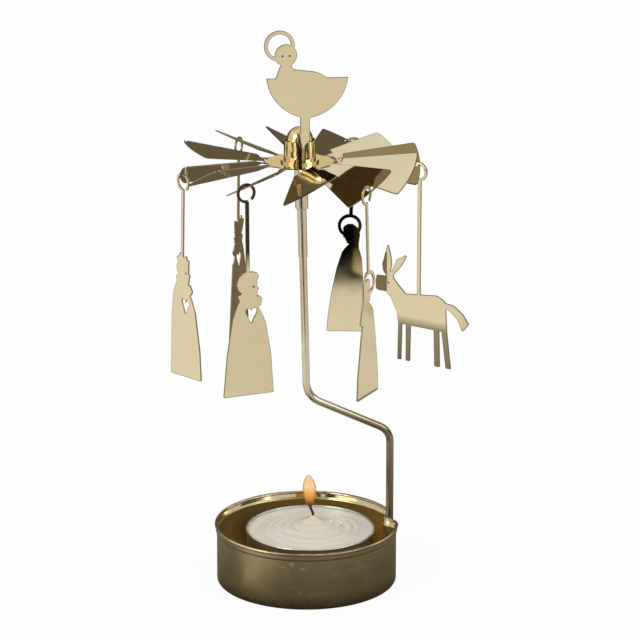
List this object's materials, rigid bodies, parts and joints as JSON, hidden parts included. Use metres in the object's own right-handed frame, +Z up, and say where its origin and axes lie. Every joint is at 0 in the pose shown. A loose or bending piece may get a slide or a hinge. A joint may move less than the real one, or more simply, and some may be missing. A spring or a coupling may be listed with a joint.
{
  "type": "angel chime carousel",
  "caption": "Rotary tealight holder: a tin with a bent post carries a pinwheel fan of pitched blades with hanging sheet-metal figures, turned by the warm air of the flame.",
  "frame": {"origin": "centre of the tin's underside, on the table plane", "axes": "+Z up along the tin's axis, +X to the side where the post is clipped, +Y away from the viewer of the picture"},
  "size_m": [0.0862, 0.069, 0.1669],
  "materials": {
    "tin_brass": "satin, slightly darkened brass plating",
    "post_plated": "champagne plated, satin",
    "needle_steel": "bright",
    "sheet_brass": "bright satin champagne brass",
    "hub_brass": "polished",
    "cup_aluminium": "thin drawn foil",
    "wax": "white paraffin wax",
    "wick_cotton": "charred cotton",
    "sustainer_steel": "tinned sheet"
  },
  "bodies": {
    "base": {"tray": "tin_brass", "post": "post_plated", "post_ferrule": "post_plated", "pivot_needle": "needle_steel"},
    "rotor": {"rotor_blades": "sheet_brass", "hub_collar": "hub_brass", "hub_dome": "hub_brass", "crib_figure": "sheet_brass"},
    "donkey": {"donkey": "sheet_brass"},
    "bowed_figure": {"bowed_figure": "sheet_brass"},
    "king_spired": {"king_spired": "sheet_brass"},
    "king_crowned": {"king_crowned": "sheet_brass"},
    "king_turbaned": {"king_turbaned": "sheet_brass"},
    "veiled_figure": {"veiled_figure": "sheet_brass"},
    "tealight": {"tealight_cup": "cup_aluminium", "tealight_wax": "wax", "tealight_wick": "wick_cotton", "wick_sustainer": "sustainer_steel"}
  },
  "joints": [
    {"name": "rotor_spin", "type": "hinge", "parent": "base", "child": "rotor", "pos_m": [-0.0018, 0, 0.1374], "axis": [-0.0005, 0.0384, 0.9993], "continuous": true},
    {"name": "donkey_swing", "type": "hinge", "parent": "rotor", "child": "donkey", "pos_m": [0.03228, 0.00117, 0.12409], "axis": [-0.5446, -0.8387, 0], "range_deg": [-15, 15]},
    {"name": "bowed_figure_swing", "type": "hinge", "parent": "rotor", "child": "bowed_figure", "pos_m": [0.01384, 0.02963, 0.12367], "axis": [0, -1, 0], "range_deg": [-15, 15]},
    {"name": "king_spired_swing", "type": "hinge", "parent": "rotor", "child": "king_spired", "pos_m": [-0.01985, 0.02812, 0.12426], "axis": [0.9272, -0.3746, 0], "range_deg": [-15, 15]},
    {"name": "king_crowned_swing", "type": "hinge", "parent": "rotor", "child": "king_crowned", "pos_m": [-0.0351, -0.0032, 0.1222], "axis": [0.788, 0.6157, 0], "range_deg": [-15, 15]},
    {"name": "king_turbaned_swing", "type": "hinge", "parent": "rotor", "child": "king_turbaned", "pos_m": [-0.01662, -0.03118, 0.12682], "axis": [-0.4226, 0.9063, 0], "range_deg": [-15, 15]},
    {"name": "veiled_figure_swing", "type": "hinge", "parent": "rotor", "child": "veiled_figure", "pos_m": [0.01699, -0.0287, 0.12545], "axis": [-0.8829, 0.4695, 0], "range_deg": [-15, 15]},
    {"name": "tealight_lift", "type": "slide", "parent": "base", "child": "tealight", "axis": [0, 0, 1], "range_m": [0, 0.018]}
  ]
}
